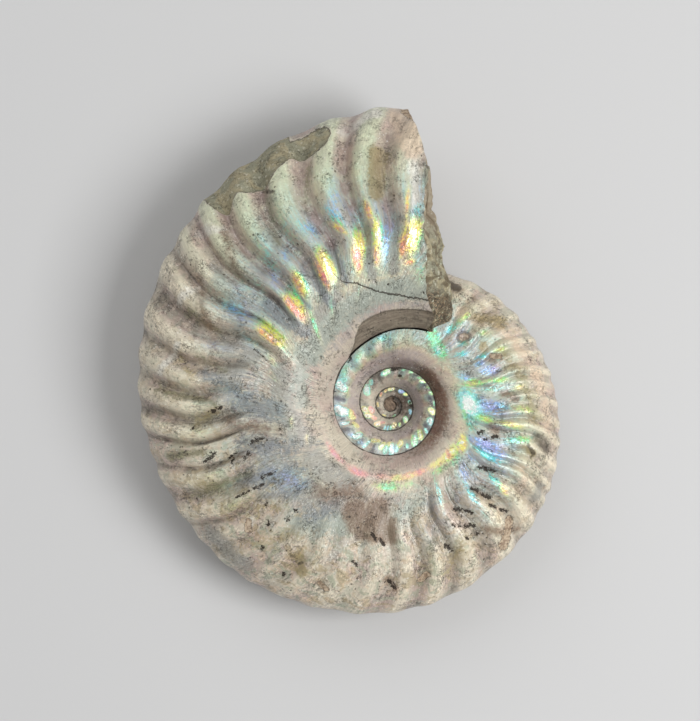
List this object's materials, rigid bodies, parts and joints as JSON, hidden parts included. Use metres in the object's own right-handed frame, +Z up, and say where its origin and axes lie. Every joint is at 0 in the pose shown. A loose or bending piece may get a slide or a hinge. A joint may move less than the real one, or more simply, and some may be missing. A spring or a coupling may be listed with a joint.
{
  "type": "nacreous ammonite fossil",
  "caption": "Coiled fossil ammonite shell with curved ribs, a stepped open umbilicus, a broken stone-filled mouth and an iridescent nacre skin; lies on its lower flank.",
  "frame": {"origin": "middle of the shell's bounding box at its base, on the surface it lies on", "axes": "+Z up, away from the surface it lies on; the coiling axis leans 4.7 degrees from it. +Y towards the outer edge of the mouth"},
  "size_m": [0.0586, 0.0698, 0.022],
  "materials": {
    "nacre": "weathered mother-of-pearl: warm beige-grey with a satin sheen that shifts through yellow, green, cyan, blue and pink, with brown stains and dull stone where the shell has chipped off"
  },
  "bodies": {
    "root": {"ammonite": "nacre"}
  },
  "joints": []
}
